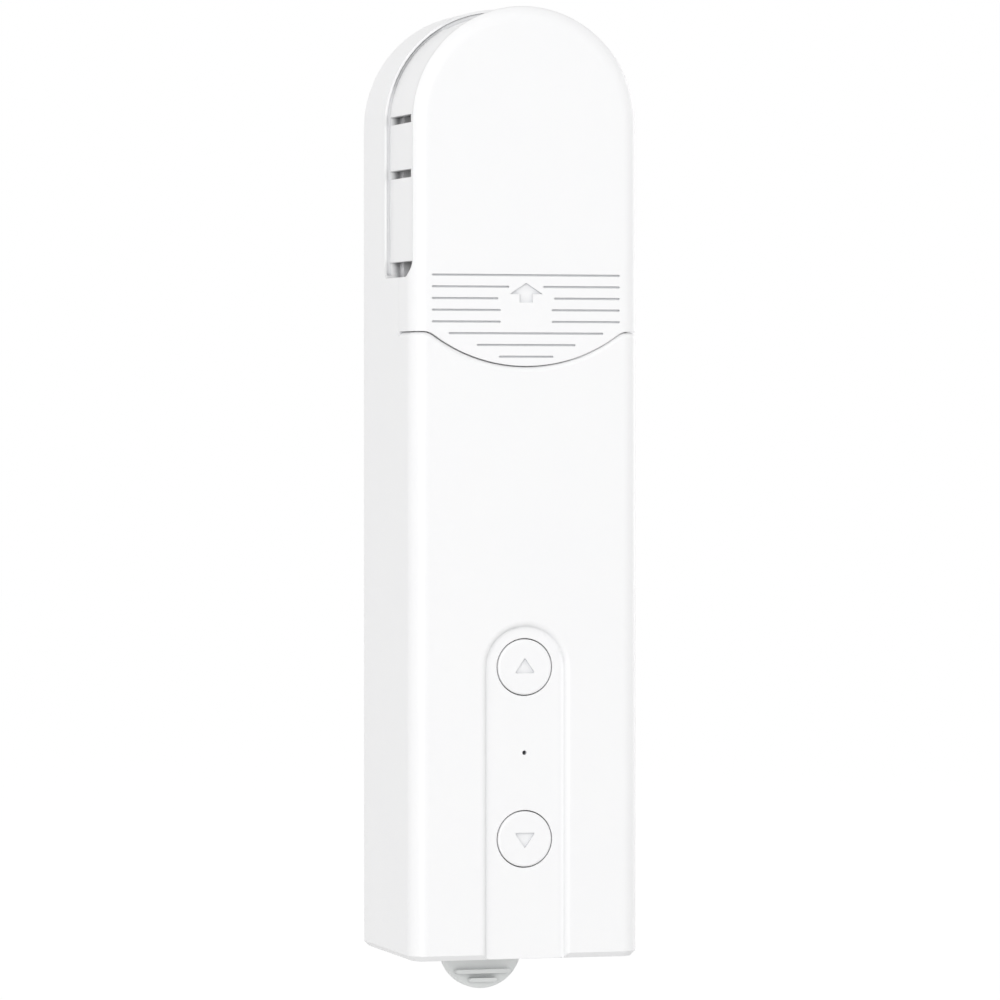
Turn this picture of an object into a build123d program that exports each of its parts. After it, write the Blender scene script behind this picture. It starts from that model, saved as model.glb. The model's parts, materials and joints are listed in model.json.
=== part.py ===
from build123d import *
import os
from math import acos, atan2, cos, pi, radians, sin, sqrt, tan

# A driver that clips to the wall beside a roller shade and turns its bead chain.
# Millimetres. X runs to the right, Z up and Y towards the wall, with the origin on the wall,
# at the middle of the wall base. A depth is measured back from the front face of the body,
# and a height is measured up from the underside of the body. A drop or a rise is measured
# from the centre of the arch, so that the upper part keeps its form if the body's height changes.

# The body
body_width = 43.4
body_depth = 33.8
body_height = 174.3
edge_radius = 3.2            # rounding of the long front edges and of the arch
foot_chamfer = 0.95          # round the underside, on the front and the sides
wall = 1.8
fit_gap = 0.15               # between mouldings that are fixed together
slide_gap = 0.25             # between mouldings that slide on each other
wall_gap = 0.4               # the body's back stands this far off the wall

# The sliding chain cover and the chamber behind it
cover_thickness = 1.9
cover_drop = 38.1            # the straight part of the parting line
tongue_drop = 44.4           # lowest point of the cover's round tongue
tongue_radius = 29.5
tongue_blend = 3.5
parting_gap = 0.12
skirt_depth = 8.6
skirt_thickness = 1.6
window_drop = 28.2           # lower edge of the side windows
window_rear = 18.8           # depth at which the rear shell's arch starts
window_front = 1.4           # depth of the cover's rim beside the window
window_front_radius = 3.0
window_rear_radius = 1.3
guard_inset = 1.0            # the slotted guard wall lies this far inside the body's side
guard_thickness = 1.6
guard_drop = 25.3
slot_height = 1.5
slot_rises = (-9.3, 0.65)
slot_front = 3.9
seam_width = 0.5             # the groove round the guard's rear edge
seam_depth = 1.2
mouth_width = 21.0
rail_width = 1.6
rail_height = 1.2
rail_depth = 5.2
overlap = 0.2                # how far an added form reaches into the one that it grows from
past = 1.0                   # how far a cut reaches past the face that it opens

# Grip lines on the cover, from the top down: half length, and half of the bare middle
grip_lines = (
    (17.8, 0),
    (17.8, 3.25),
    (17.8, 5.3),
    (17.8, 4.85),
    (17.8, 4.85),
    (14.65, 0),
    (9.35, 0),
    (5.15, 0),
)
grip_drop = 27.87
grip_pitch = 2.12
grip_width = 0.34
grip_depth = 0.6
arrow_drop = 1.38            # below the first grip line
arrow_head = 2.02
arrow_tail = 1.53
arrow_width = 6.1
arrow_stem = 2.5

# The button channel and the buttons
channel_width = 14.9
channel_depth = 1.2
channel_edge = 1.1           # rounding between the channel's sides and the front
channel_wall = 1.8
button_heights = (21.9, 53.3)
button_radius = 5.08
button_gap = 0.2
button_stand = 0.35          # how far a button stands out of the channel floor
button_edge = 0.4
button_flange = 0.85
button_flange_thickness = 0.8
button_travel = 0.4
button_catch_gap = 0.1
mark_width = 3.8
mark_height = 2.8
mark_depth = 0.5
mark_corner = 0.15
mark_shift = 0.3             # each arrow head lies this far towards its point
button_slack = 0.05
pinhole_height = 37.65
pinhole_radius = 0.4
lamp_width = 2.0
lamp_height = 1.2
lamp_thickness = 0.8
guide_radius = 1.6
guide_reach = 0.6

# The chain wheel, for a ball chain
ball_diameter = 4.5
ball_pitch = 6.0
ball_pockets = 8
pocket_gap = 0.2
sprocket_drop = 2.6
sprocket_front = 5.0
sprocket_width = 9.0
sprocket_rim = 1.0           # the drum stands this far outside the line of the ball centres
flange_height = 3.1
flange_thickness = 1.7
flange_rim = 0.5
wheel_gap = 0.8               # behind the chain wheel
cord_groove_width = 1.5
cord_groove_depth = 1.7
shaft_radius = 2.5
shaft_flat = 1.9
shaft_clearance = 0.04
shaft_recess = 0.3           # the shaft ends this far inside the chain wheel
wheel_screw_radius = 1.2
wheel_screw_length = 5.0
wheel_screw_head = 3.2
wheel_screw_head_height = 1.3
wheel_screw_edge = 0.5
cross_length = 2.6
cross_width = 0.6
cross_depth = 0.6

# Gear train: gearhead, bevel pair, spur pair
gear_module = 0.8
output_teeth = 40
pinion_teeth = 20
crown_teeth = 24
bevel_teeth = 12
tooth_share = 0.86           # tooth thickness as a share of half the pitch
spur_heights = (-1.2, -0.4, 0.3, 1.0)        # points of a flank, in modules, from the pitch circle
bevel_heights = (-1.2, -0.4, 0.2, 0.75)
bevel_share = 0.72
pressure_angle = radians(20)
bevel_face = 0.4             # the bevel teeth fill this share of the cone's length
gear_width = 3.6
gear_gap = 0.4
axle_radius = 1.5
bush_radius = 4.0
bush_wall = 1.5
bush_proud = 1.2             # the front bush stands this far in front of the partition
partition_thickness = 1.5
axle_boss = 0.8
axle_end_gap = 0.2
bearing_plate_thickness = 1.4
bearing_drop = 9.0           # the bearing plate reaches this far below the idler axle
crown_hub = 0.9
crown_hub_radius = 7.6
pinion_hub = 1.6
pinion_hub_radius = 3.0
pinion_hub_gap = 1.0
shaft_end = 0.4
web_holes = 6
web_hole_radius = 2.9
web_hole_ring = 9.6

# Motor and power
motor_radius = 11.2
motor_length = 28.0
gearhead_length = 21.5
motor_edge = 1.0
motor_cap_inset = 1.6
motor_cap_thickness = 1.5
motor_boss_radius = 2.4
motor_boss_height = 0.4
gearhead_inset = 0.1
gearhead_groove = 0.4
gearhead_groove_width = 1.2
gearhead_bore = 6.0
motor_screw_reach = 8.0
motor_screw_depth = 3.5
bracket_thickness = 1.6
pilot_radius = 4.4
output_shaft_radius = 1.5
cell_foot = 9.5
cell_edge = 0.6
cell_cap_radius = 3.0
cell_cap_height = 1.0
cell_gap = 0.3
cell_web = 0.6               # of the cradle, between the two cells
cradle_end = 1.0
cradle_side = 0.6            # outside each cell
cradle_board_gap = 1.4
cradle_wrap = 2.5            # the cradle reaches this far past the middle of the cells

# Circuit board
board_thickness = 1.2
board_width = 30.8
board_foot = 2.4
board_top = 58.5
switch_size = 6.0
switch_height = 2.2
plunger_radius = 1.7
plunger_height = 0.45
socket_width = 8.94
socket_thickness = 3.26
socket_length = 7.3
socket_foot = 0.7
socket_wall = 0.3
socket_opening_gap = 0.2
tongue_inset = 0.8
tongue_width = 6.7
tongue_thickness = 0.7
tongue_length = 4.4

# Rear cover and wall base
rear_thickness = 6.3
rear_skin = 1.8
rear_rim = 1.2
base_sink = 4.0              # the wall base reaches this far into the body
base_foot = 0.5
base_length = 93.0
base_side_wall = 0.7         # of the rear cover, between the channel and the screw heads
base_step = 2.0              # the base's front lip is this much wider than its neck on each side
base_lip = 1.7
base_corner = 1.2
base_web = 0.9
rack_pitch = 1.5
rack_depth = 0.7
rack_land = 0.2
rack_width = 6.0
rack_foot = 3.0
rack_count = 15              # gaps in the rack
screw_hole_radius = 2.1
screw_head_radius = 4.1
screw_hole_rise = 12.0       # the lower wall screw above the latch's pin
screw_hole_drop = 9.5        # the upper wall screw below the top of the base

# Release latch
tab_radius = 7.9
tab_drop = 0.3               # the middle of the tab's round, below the underside
tab_thickness = 2.2
tab_gap = 0.25               # below the underside of the body
tab_edge = 0.4
latch_width = 11.8
latch_recess = 0.3
latch_thickness = 1.5
latch_pivot_height = 40.0
latch_pivot_sink = 1.4
latch_pin_clearance = 0.05
latch_pin_sink = 0.2         # the pin ends this far inside the base's sides
latch_pin_radius = 0.8
latch_barrel_radius = 1.3
pawl_number = 13             # the pawl lies in this gap of the rack
pawl_gap = 0.15
pawl_tip_gap = 0.2
pawl_width = 5.4
ribs = ((4.9, 10.6), (6.5, 5.3))     # drop below the underside, and length
rib_thickness = 0.8
rib_stand = 1.5
spring_height = 30.0
spring_radius = 1.4
spring_wire = 0.2
spring_turns = 2.5
spring_pocket = 0.8
spring_pocket_radius = 1.9
spring_end_gap = 0.05

# Small screws
screw_radius = 0.85
screw_head = 1.7
screw_head_height = 1.2
screw_length = 7.0
screw_sink = 1.6             # the case screws' heads lie this far below the back
screw_cross = 2.0
screw_cross_width = 0.5
screw_cross_depth = 0.5
low_head_height = 0.6        # board, motor and plate screws
short_screw = 3.0            # their length beyond what they hold
pilot_extra = 0.5
pillar_radius = 2.2
slim_pillar_radius = 1.9
pillar_sink = 0.1            # a case pillar merges this far into the side wall
pilot_gap = 0.03
foot_screw_height = 5.5
middle_screw_rise = 4.1      # above the parting line
top_screw_reach = 12.5
top_screw_rise = 12.9
plate_screw_reach = 15.5
plate_screw_rise = 8.0       # above the idler axle
plate_screw_top = 18.9       # above the drive shaft
board_screw_inset = 1.6
board_screw_foot = 3.1

# Sizes that follow from the ones above
half_width = body_width / 2
arch_height = body_height - half_width
front_y = -(body_depth + wall_gap)
bottom_z = -(base_foot + base_length / 2)
inner_half = half_width - wall
window_foot = arch_height - window_drop
cover_foot = arch_height - cover_drop
tongue_foot = arch_height - tongue_drop
guard_foot = arch_height - guard_drop
sprocket_height = arch_height - sprocket_drop
grip_top = arch_height - grip_drop
arrow_tip = grip_top - arrow_drop
arrow_shoulder = arrow_tip - arrow_head
arrow_foot = arrow_shoulder - arrow_tail
guard_half = half_width - guard_inset
chamber_half = guard_half - guard_thickness
bulge_half = chamber_half - slide_gap
cover_floor = cover_thickness + slide_gap
cover_wall_back = cover_floor + wall
chamber_floor_foot = window_foot - wall
cheek_half = half_width - skirt_thickness - slide_gap
cheek_back = skirt_depth + parting_gap + wall
rail_half = half_width - skirt_thickness - rail_height
tongue_centre = tongue_foot + tongue_radius
rear_front = body_depth - rear_thickness
base_front = body_depth - base_sink
base_back = body_depth + wall_gap
channel_top = base_foot + base_length + slide_gap
case_screw_reach = inner_half - pillar_radius + pillar_sink
base_width = 2 * (case_screw_reach - screw_head - fit_gap - base_side_wall - slide_gap)
base_neck_width = base_width - 2 * base_step
screw_hole_heights = (latch_pivot_height + screw_hole_rise, base_foot + base_length - screw_hole_drop)

# The buttons and the board behind them
channel_floor = channel_depth + channel_wall
button_hole_radius = button_radius + button_gap
button_front = channel_depth - button_stand
flange_front = channel_floor + button_catch_gap
flange_back = flange_front + button_flange_thickness
plunger_front = flange_back + button_travel + button_slack
board_front = plunger_front + plunger_height + switch_height
board_back = board_front + board_thickness
mark_side = sqrt(mark_width**2 / 4 + mark_height**2)
socket_middle = board_back + socket_thickness / 2

# The chain wheel and the gears, stacked forward from the rear cover
ball_radius = ball_pitch / (2 * sin(pi / ball_pockets))
drum_radius = ball_radius + sprocket_rim
flange_radius = ball_radius + flange_height
sprocket_back = sprocket_front + sprocket_width
shaft_front = sprocket_front + shaft_recess
bush_front = sprocket_back + wheel_gap
partition_front = bush_front + bush_proud
partition_back = partition_front + partition_thickness
output_radius = gear_module * output_teeth / 2
pinion_radius = gear_module * pinion_teeth / 2
crown_radius = gear_module * crown_teeth / 2
bevel_radius = gear_module * bevel_teeth / 2
axle_height = sprocket_height - output_radius - pinion_radius
bearing_back = rear_front - 2 * fit_gap
bearing_front = bearing_back - bearing_plate_thickness
spur_back = bearing_front - gear_gap
spur_front = spur_back - gear_width
crown_back = spur_front - gear_gap - crown_hub
motor_depth = crown_back - bevel_radius
crown_cone = atan2(crown_teeth, bevel_teeth)
pinion_cone = pi / 2 - crown_cone
pinion_foot = axle_height - crown_radius
small_end = 1 - bevel_face
pinion_top = axle_height - small_end * crown_radius
crown_front = motor_depth + small_end * bevel_radius

# The motor hangs under the pinion, and the cells lie against the rear cover
bracket_top = pinion_foot - pinion_hub - pinion_hub_gap
bracket_foot = bracket_top - bracket_thickness
step_height = bracket_top + fit_gap
gearhead_foot = bracket_foot - gearhead_length
motor_foot = gearhead_foot - motor_length
motor_low = motor_foot - motor_cap_thickness - motor_boss_height
cell_radius = (inner_half - 4 * fit_gap - cell_web / 2 - cradle_side) / 2
cell_length = motor_low - cradle_end - 2 * fit_gap - cell_foot
cell_depth = rear_front - cell_gap - cell_radius
cell_reach = cell_radius + fit_gap + cell_web / 2
cradle_foot = cell_foot - fit_gap
cradle_top = cell_foot + cell_length + fit_gap

# The latch
latch_front = base_front + latch_recess
latch_back = latch_front + latch_thickness
latch_pivot_depth = base_front + latch_pivot_sink
rack_floor = base_front - slide_gap
rack_rise = (rack_pitch - rack_land) / rack_depth
pawl_tip = rack_floor - rack_depth + pawl_tip_gap
pawl_foot = rack_foot + pawl_number * rack_pitch + pawl_gap
web_front = base_back - base_web

# Places of the screws
foot_screws = [(side * case_screw_reach, foot_screw_height) for side in (-1, 1)]
middle_screws = [(side * case_screw_reach, cover_foot + middle_screw_rise) for side in (-1, 1)]
top_screws = [(side * top_screw_reach, arch_height + top_screw_rise) for side in (-1, 1)]
case_screw_places = foot_screws + middle_screws + top_screws
case_screw_seat = body_depth - screw_sink - screw_head_height
plate_screw_places = [(side * plate_screw_reach, axle_height + plate_screw_rise) for side in (-1, 1)]
plate_screw_places.append((0, sprocket_height + plate_screw_top))
board_screw_places = [
    (side * (board_width / 2 - board_screw_inset), h)
    for side in (-1, 1)
    for h in (board_foot + board_screw_foot, board_top - board_screw_foot)
]
motor_screw_places = [(-motor_screw_reach, 0), (motor_screw_reach, 0)]


def facing(depth, height=0.0):
    # A plane that looks out of the front, at a depth behind the front face
    return Plane(origin=(0, front_y + depth, bottom_z + height), x_dir=(1, 0, 0), z_dir=(0, -1, 0))


def behind(depth, height=0.0):
    # A plane that looks out of the back, at a depth behind the front face
    return Plane(origin=(0, front_y + depth, bottom_z + height), x_dir=(-1, 0, 0), z_dir=(0, 1, 0))


def level(height, depth=0.0):
    # A level plane at a height above the underside; its y runs from front to back
    return Plane(origin=(0, front_y + depth, bottom_z + height), x_dir=(1, 0, 0), z_dir=(0, 0, 1))


def side_on(height=0.0):
    # The middle plane, seen from the right; its x runs from front to back, its y is the height
    return Plane(origin=(0, front_y, bottom_z + height), x_dir=(0, 1, 0), z_dir=(1, 0, 0))


def arch(radius, foot):
    # Straight sides from the foot up to a half round about the centre of the body's arch
    with Locations((0, (foot + arch_height) / 2)):
        Rectangle(2 * radius, arch_height - foot)
    with Locations((0, arch_height)):
        Circle(radius)


def block(low, high, mode=Mode.ADD):
    # A rectangle on the working plane, from its low corner to its high corner
    with Locations(((low[0] + high[0]) / 2, (low[1] + high[1]) / 2)):
        Rectangle(high[0] - low[0], high[1] - low[1], mode=mode)


def channel_shape(half):
    # The button channel: open at the underside and round about the upper button
    block((-half, -wall), (half, button_heights[1]))
    with Locations((0, button_heights[1])):
        Circle(half)


def cover_area(growth):
    # Everything above the parting line, which drops into a round tongue at the middle
    block((-body_width, cover_foot - growth), (body_width, body_height + body_width))
    with Locations((0, tongue_centre)):
        Circle(tongue_radius + growth)


def tongue_corners(area):
    # Where the straight parting line meets the tongue
    return [v for v in area.vertices() if abs(v.X) < half_width and v.Y < window_foot]


def involute(angle):
    return tan(angle) - angle


def half_tooth(radius, pitch_radius, teeth, share):
    # Half of a tooth's angle at a radius, along an involute flank that is radial inside its base circle
    base = pitch_radius * cos(pressure_angle)
    at_pitch = share * pi / (2 * teeth) + involute(pressure_angle)
    return at_pitch - involute(acos(min(1.0, base / radius)))


def gear_outline(teeth, turn):
    # A spur gear's outline: each flank has a point at the root, the pitch circle and the tip
    pitch_radius = gear_module * teeth / 2
    points = []
    for tooth in range(teeth):
        middle = radians(turn) + 2 * pi * tooth / teeth
        flank = []
        for height in spur_heights:
            radius = pitch_radius + height * gear_module
            flank.append((radius, half_tooth(radius, pitch_radius, teeth, tooth_share)))
        for radius, half in flank:
            points.append((radius * cos(middle - half), radius * sin(middle - half)))
        for radius, half in reversed(flank):
            points.append((radius * cos(middle + half), radius * sin(middle + half)))
    return points


def bevel_outline(teeth, cone, turn, scale):
    # A bevel gear's outline on the plane through its pitch circle, drawn from the cone's tip.
    # The flanks are those of the larger spur gear that rolls on the back of the cone.
    pitch_radius = gear_module * teeth / 2
    reach = pitch_radius / tan(cone)
    virtual = pitch_radius / cos(cone)
    virtual_teeth = teeth / cos(cone)
    points = []
    for tooth in range(teeth):
        middle = radians(turn) + 2 * pi * tooth / teeth
        flank = []
        for height in bevel_heights:
            proud = height * gear_module
            half = half_tooth(virtual + proud, virtual, virtual_teeth, bevel_share) * (virtual + proud)
            across = pitch_radius + proud * cos(cone)
            flank.append((scale * across * reach / (reach - proud * sin(cone)), half / across))
        for radius, half in flank:
            points.append((radius * cos(middle - half), radius * sin(middle - half)))
        for radius, half in reversed(flank):
            points.append((radius * cos(middle + half), radius * sin(middle + half)))
    return points


def low_screws(seat, places, length):
    # A group of low-headed screws: the heads stand on the seat and the shanks run into it
    with BuildPart() as screws:
        with BuildSketch(seat):
            with Locations(*places):
                Circle(screw_head)
        extrude(amount=low_head_height)
        with BuildSketch(seat):
            with Locations(*places):
                Circle(screw_radius)
        extrude(amount=-length)
    return screws


def save(piece, name):
    piece.part.label = name
    export_step(piece.part, f"parts/{name}.step")


os.makedirs("parts", exist_ok=True)


# The main housing is one moulding: front, sides, underside, the rear half of the arch and
# the floor and rear wall of the chain chamber.
with BuildPart() as main_housing:
    with BuildSketch(facing(body_depth)):
        arch(half_width, 0)
    extrude(amount=body_depth)
    front_edges = main_housing.edges().group_by(Axis.Y)[0]
    fillet(front_edges.filter_by(lambda e: e.center().Z > bottom_z + past), edge_radius)
    foot_face = main_housing.faces().sort_by(Axis.Z)[0]
    chamfer(foot_face.edges().filter_by(lambda e: e.center().Y < front_y + body_depth - past), foot_chamfer)
    # the chamber and the side windows, open to the front
    with BuildSketch(side_on()) as chamber_side:
        with BuildLine():
            Polyline(
                (-past, window_foot),
                (window_rear, window_foot),
                (window_rear, body_height + past),
                (-past, body_height + past),
                close=True,
            )
        make_face()
        fillet(chamber_side.vertices().sort_by(Axis.Y)[:2].sort_by(Axis.X)[-1], window_rear_radius)
    extrude(amount=body_width, both=True, mode=Mode.SUBTRACT)
    # a groove in the rear wall of the windows, outside the guard's rear edge
    with BuildSketch(facing(window_rear + seam_depth)):
        seam_inside = guard_half - slide_gap
        arch(guard_half + seam_width, window_foot)
        with Locations((0, arch_height)):
            Circle(seam_inside, mode=Mode.SUBTRACT)
        block((-seam_inside, window_foot - past), (seam_inside, arch_height), mode=Mode.SUBTRACT)
    extrude(amount=seam_depth + overlap, mode=Mode.SUBTRACT)
    # the gear space bulges forward into the chamber
    with BuildSketch(facing(window_rear + wall)):
        arch(bulge_half, chamber_floor_foot)
    extrude(amount=window_rear + wall - partition_front)
    # the inside, behind the front wall
    with BuildSketch(facing(body_depth)):
        block((-inner_half, wall), (inner_half, tongue_foot - 2 * wall))
    extrude(amount=body_depth - channel_floor, mode=Mode.SUBTRACT)
    with BuildSketch(facing(channel_floor)):
        block((-inner_half, wall), (inner_half, tongue_foot - 2 * wall))
        with Locations((0, button_heights[1])):
            Circle(channel_width / 2 + wall, mode=Mode.SUBTRACT)
        channel_back = channel_width / 2 + wall
        block((-channel_back, 0), (channel_back, button_heights[1]), mode=Mode.SUBTRACT)
    extrude(amount=channel_floor - wall, mode=Mode.SUBTRACT)
    with BuildSketch(facing(body_depth)):
        block((-inner_half, wall), (inner_half, step_height))
        block((-cheek_half + wall, wall), (cheek_half - wall, chamber_floor_foot))
    extrude(amount=body_depth - cover_wall_back, mode=Mode.SUBTRACT)
    with BuildSketch(facing(body_depth)):
        block((-inner_half, wall), (inner_half, chamber_floor_foot))
    extrude(amount=body_depth - cheek_back, mode=Mode.SUBTRACT)
    with BuildSketch(facing(window_rear + wall)):
        arch(bulge_half - partition_thickness, chamber_floor_foot)
    extrude(amount=window_rear + wall - partition_back, mode=Mode.SUBTRACT)
    with BuildSketch(facing(body_depth)):
        arch(inner_half, chamber_floor_foot)
    extrude(amount=body_depth - window_rear - wall, mode=Mode.SUBTRACT)
    # the seat of the sliding cover: a shallow step behind its plate, and a pocket for each skirt
    with BuildSketch(facing(cover_floor)) as cover_seat:
        cover_area(parting_gap)
        fillet(tongue_corners(cover_seat), tongue_blend)
    extrude(amount=cover_floor + past, mode=Mode.SUBTRACT)
    with BuildSketch(facing(skirt_depth + parting_gap)):
        block((-body_width, cover_foot - parting_gap), (-cheek_half, window_foot + past))
        block((cheek_half, cover_foot - parting_gap), (body_width, window_foot + past))
    extrude(amount=skirt_depth + body_depth, mode=Mode.SUBTRACT)
    with BuildSketch(facing(rail_depth + rail_width + slide_gap)):
        block((-body_width, cover_foot - parting_gap), (-rail_half + slide_gap, window_foot + past))
        block((rail_half - slide_gap, cover_foot - parting_gap), (body_width, window_foot + past))
    extrude(amount=rail_width + 2 * slide_gap, mode=Mode.SUBTRACT)
    # the button channel, with steep sides and a rounded edge, and its holes
    with BuildSketch(facing(channel_depth)):
        channel_shape(channel_width / 2)
    extrude(amount=channel_depth + past, mode=Mode.SUBTRACT)
    front_edges = main_housing.edges().group_by(Axis.Y)[0]
    low_edges = front_edges.filter_by(lambda e: e.center().Z < bottom_z + tongue_foot)
    fillet(low_edges.filter_by(lambda e: abs(e.center().X) < channel_width / 2 + past), channel_edge)
    with BuildSketch(facing(channel_floor)):
        with Locations(*[(0, h) for h in button_heights]):
            Circle(button_hole_radius)
        with Locations((0, pinhole_height)):
            Circle(pinhole_radius)
    extrude(amount=channel_floor, mode=Mode.SUBTRACT)
    # pillars for the case screws, the board and the bearing plate, each ending inside a wall
    for places, radius, rear, front in (
        (foot_screws, pillar_radius, rear_front - fit_gap, wall / 2),
        (middle_screws, pillar_radius, rear_front - fit_gap, cheek_back - wall / 2),
        (top_screws, pillar_radius, rear_front - fit_gap, window_rear + wall / 2),
        (board_screw_places, slim_pillar_radius, board_front, wall / 2),
        (plate_screw_places, slim_pillar_radius, bearing_front, partition_back - partition_thickness / 2),
    ):
        with BuildSketch(facing(rear)):
            with Locations(*places):
                Circle(radius)
        extrude(amount=rear - front)
    # the seat of the front bush and of the idler axle
    with BuildSketch(facing(window_rear + wall)):
        with Locations((0, sprocket_height)):
            Circle(bush_radius + bush_wall)
    extrude(amount=window_rear + wall - bush_front)
    with BuildSketch(facing(partition_back)):
        with Locations((0, axle_height)):
            Circle(axle_radius + bush_wall)
    extrude(amount=partition_thickness + axle_boss)
    with BuildSketch(facing(window_rear + wall)):
        with Locations((0, sprocket_height)):
            Circle(bush_radius + pilot_gap)
    extrude(amount=window_rear + wall, mode=Mode.SUBTRACT)
    with BuildSketch(facing(partition_back)):
        with Locations((0, axle_height)):
            Circle(axle_radius + pilot_gap)
    extrude(amount=partition_thickness, mode=Mode.SUBTRACT)
    # screw holes in the pillars
    for places, rear, tip in (
        (case_screw_places, rear_front, case_screw_seat - screw_length),
        (plate_screw_places, bearing_front, bearing_front - short_screw),
        (board_screw_places, board_front, board_front - short_screw),
    ):
        with BuildSketch(facing(rear)):
            with Locations(*places):
                Circle(screw_radius + pilot_gap)
        extrude(amount=rear - tip + pilot_extra, mode=Mode.SUBTRACT)
    # openings in the underside for the charging plug and for the wall base
    with BuildSketch(level(-past, socket_middle)):
        SlotOverall(socket_width + 2 * socket_opening_gap, socket_thickness + 2 * socket_opening_gap)
    extrude(amount=wall + 2 * past, mode=Mode.SUBTRACT)
    with BuildSketch(level(-past)):
        lip_half = base_width / 2 + slide_gap
        neck_half = base_neck_width / 2 + slide_gap
        block((-lip_half, rack_floor), (lip_half, base_front + base_lip + slide_gap))
        block((-neck_half, base_front), (neck_half, body_depth + past))
    extrude(amount=wall + 2 * past, mode=Mode.SUBTRACT)
save(main_housing, "main_housing")

# The sliding cover: a plate with short skirts, and the slotted guard wall that closes the chamber.
with BuildPart() as chain_cover:
    with BuildSketch(facing(skirt_depth)) as cover_front:
        cover_area(0)
        fillet(tongue_corners(cover_front), tongue_blend)
    extrude(amount=skirt_depth)
    with BuildSketch(facing(skirt_depth)):
        arch(half_width, tongue_foot - past)
    extrude(amount=skirt_depth, mode=Mode.INTERSECT)
    front_edges = chain_cover.edges().group_by(Axis.Y)[0]
    fillet(front_edges.filter_by(lambda e: e.center().Z > bottom_z + cover_foot + past), edge_radius)
    with BuildSketch(side_on()) as window_side:
        with BuildLine():
            Polyline(
                (window_front, window_foot),
                (body_depth, window_foot),
                (body_depth, body_height + past),
                (window_front, body_height + past),
                close=True,
            )
        make_face()
        fillet(window_side.vertices().sort_by(Axis.Y)[:2].sort_by(Axis.X)[0], window_front_radius)
    extrude(amount=body_width, both=True, mode=Mode.SUBTRACT)
    with BuildSketch(facing(skirt_depth)):
        plate_half = half_width - skirt_thickness
        block((-plate_half, tongue_foot - past), (plate_half, arch_height))
    extrude(amount=skirt_depth - cover_thickness, mode=Mode.SUBTRACT)
    # the plate behind the rim, then the guard wall
    with BuildSketch(facing(cover_thickness)):
        arch(guard_half, window_foot - past)
    extrude(amount=cover_thickness - window_front + overlap)
    with BuildSketch(facing(window_rear - slide_gap)):
        arch(guard_half, guard_foot)
        with Locations((0, arch_height)):
            Circle(chamber_half, mode=Mode.SUBTRACT)
        block((-chamber_half, guard_foot - past), (chamber_half, arch_height), mode=Mode.SUBTRACT)
    extrude(amount=window_rear - slide_gap - cover_thickness + overlap)
    # slots that turn the guard's sides into spring fingers, and the mouth for the chain
    with BuildSketch(facing(window_rear)):
        for rise in slot_rises:
            h = arch_height + rise
            block((-half_width, h - slot_height / 2), (half_width, h + slot_height / 2))
        block((-mouth_width / 2, arch_height), (mouth_width / 2, body_height))
    extrude(amount=window_rear - slot_front, mode=Mode.SUBTRACT)
    # rails inside the skirts
    with BuildSketch(facing(rail_depth + rail_width)):
        skirt_half = half_width - skirt_thickness + overlap
        block((-skirt_half, cover_foot + slide_gap), (-rail_half, window_foot - slide_gap))
        block((rail_half, cover_foot + slide_gap), (skirt_half, window_foot - slide_gap))
    extrude(amount=rail_width)
    # grip lines and an arrow, sunk in the plate
    with BuildSketch(facing(grip_depth)):
        for row, (reach, bare) in enumerate(grip_lines):
            h = grip_top - row * grip_pitch
            if bare:
                with Locations((-(reach + bare) / 2, h), ((reach + bare) / 2, h)):
                    SlotOverall(reach - bare, grip_width)
            else:
                with Locations((0, h)):
                    SlotOverall(2 * reach, grip_width)
        with BuildLine():
            Polyline(
                (0, arrow_tip),
                (-arrow_width / 2, arrow_shoulder),
                (-arrow_stem / 2, arrow_shoulder),
                (-arrow_stem / 2, arrow_foot),
                (arrow_stem / 2, arrow_foot),
                (arrow_stem / 2, arrow_shoulder),
                (arrow_width / 2, arrow_shoulder),
                close=True,
            )
        make_face()
    extrude(amount=grip_depth + past, mode=Mode.SUBTRACT)
save(chain_cover, "chain_cover")

# Buttons: a soft-edged face, a flange that keeps it in its hole, and an arrow head sunk in it
for name, height, turn, shift in (
    ("down_button", button_heights[0], 180, -mark_shift),
    ("up_button", button_heights[1], 0, mark_shift),
):
    with BuildPart() as button:
        with BuildSketch(facing(flange_front, height)):
            Circle(button_radius)
        extrude(amount=flange_front - button_front)
        fillet(button.edges().group_by(Axis.Y)[0], button_edge)
        with BuildSketch(facing(flange_back, height)):
            Circle(button_radius + button_flange)
        extrude(amount=button_flange_thickness)
        with BuildSketch(facing(button_front + mark_depth, height + shift)) as mark:
            middle = (Align.CENTER, Align.CENTER)
            Triangle(a=mark_width, b=mark_side, c=mark_side, rotation=turn, align=middle)
            fillet(mark.vertices(), mark_corner)
        extrude(amount=mark_depth + past, mode=Mode.SUBTRACT)
    save(button, name)

# The circuit board, the switches behind the buttons, and the light behind the pinhole
with BuildPart() as main_board:
    with BuildSketch(facing(board_back)):
        block((-board_width / 2, board_foot), (board_width / 2, board_top))
        with Locations(*board_screw_places):
            Circle(screw_radius + pilot_gap, mode=Mode.SUBTRACT)
    extrude(amount=board_thickness)
save(main_board, "main_board")

for name, height in (("down_switch", button_heights[0]), ("up_switch", button_heights[1])):
    with BuildPart() as switch:
        with BuildSketch(facing(board_front, height)):
            Rectangle(switch_size, switch_size)
        extrude(amount=switch_height)
        with BuildSketch(facing(board_front, height)):
            Circle(plunger_radius)
        extrude(amount=switch_height + plunger_height)
    save(switch, name)

with BuildPart() as status_lamp:
    with BuildSketch(facing(board_front, pinhole_height)):
        Rectangle(lamp_width, lamp_height)
    extrude(amount=lamp_thickness)
save(status_lamp, "status_lamp")

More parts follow.
